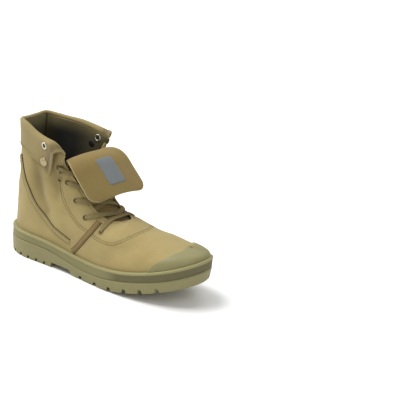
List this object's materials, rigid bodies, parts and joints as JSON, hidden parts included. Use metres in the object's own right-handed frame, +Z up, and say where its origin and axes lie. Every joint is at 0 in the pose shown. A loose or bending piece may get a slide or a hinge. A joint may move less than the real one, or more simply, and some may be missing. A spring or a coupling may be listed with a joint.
{
  "type": "lace-up canvas boot",
  "caption": "Right canvas lace-up boot with a fold-down cuff, a folded tongue, rubber toe cap and foxing band, and a lugged rubber sole with a raised arch.",
  "frame": {"origin": "middle of the boot's outline box, on the floor it stands on", "axes": "+X to the toe, +Y to the inner (medial) side of this right boot, +Z up"},
  "size_m": [0.305, 0.1066, 0.1916],
  "materials": {
    "rubber_outsole": "matte",
    "rubber_foxing": "matte",
    "rubber_cap": "satin",
    "insole_lining": "woven",
    "canvas_upper": "woven",
    "canvas_cuff": "woven",
    "canvas_tongue": "woven",
    "canvas_tape": "woven",
    "lace_cotton": "braided",
    "eyelet_metal": "satin",
    "grommet_metal": "satin",
    "snap_brass": "satin"
  },
  "bodies": {
    "root": {"cuff": "canvas_cuff", "eyelet_lateral_1": "eyelet_metal", "eyelet_lateral_2": "eyelet_metal", "eyelet_lateral_3": "eyelet_metal", "eyelet_lateral_4": "eyelet_metal", "eyelet_lateral_5": "eyelet_metal", "eyelet_medial_1": "eyelet_metal", "eyelet_medial_2": "eyelet_metal", "eyelet_medial_3": "eyelet_metal", "eyelet_medial_4": "eyelet_metal", "eyelet_medial_5": "eyelet_metal", "foxing": "rubber_foxing", "grommet_lateral": "grommet_metal", "grommet_medial": "grommet_metal", "heel_seam_lateral": "canvas_tape", "heel_seam_medial": "canvas_tape", "insole": "insole_lining", "laces": "lace_cotton", "outsole": "rubber_outsole", "side_tape_lateral": "canvas_tape", "side_tape_medial": "canvas_tape", "snap_lateral": "snap_brass", "snap_medial": "snap_brass", "toe_cap": "rubber_cap", "tongue": "canvas_tongue", "upper": "canvas_upper"}
  },
  "joints": []
}
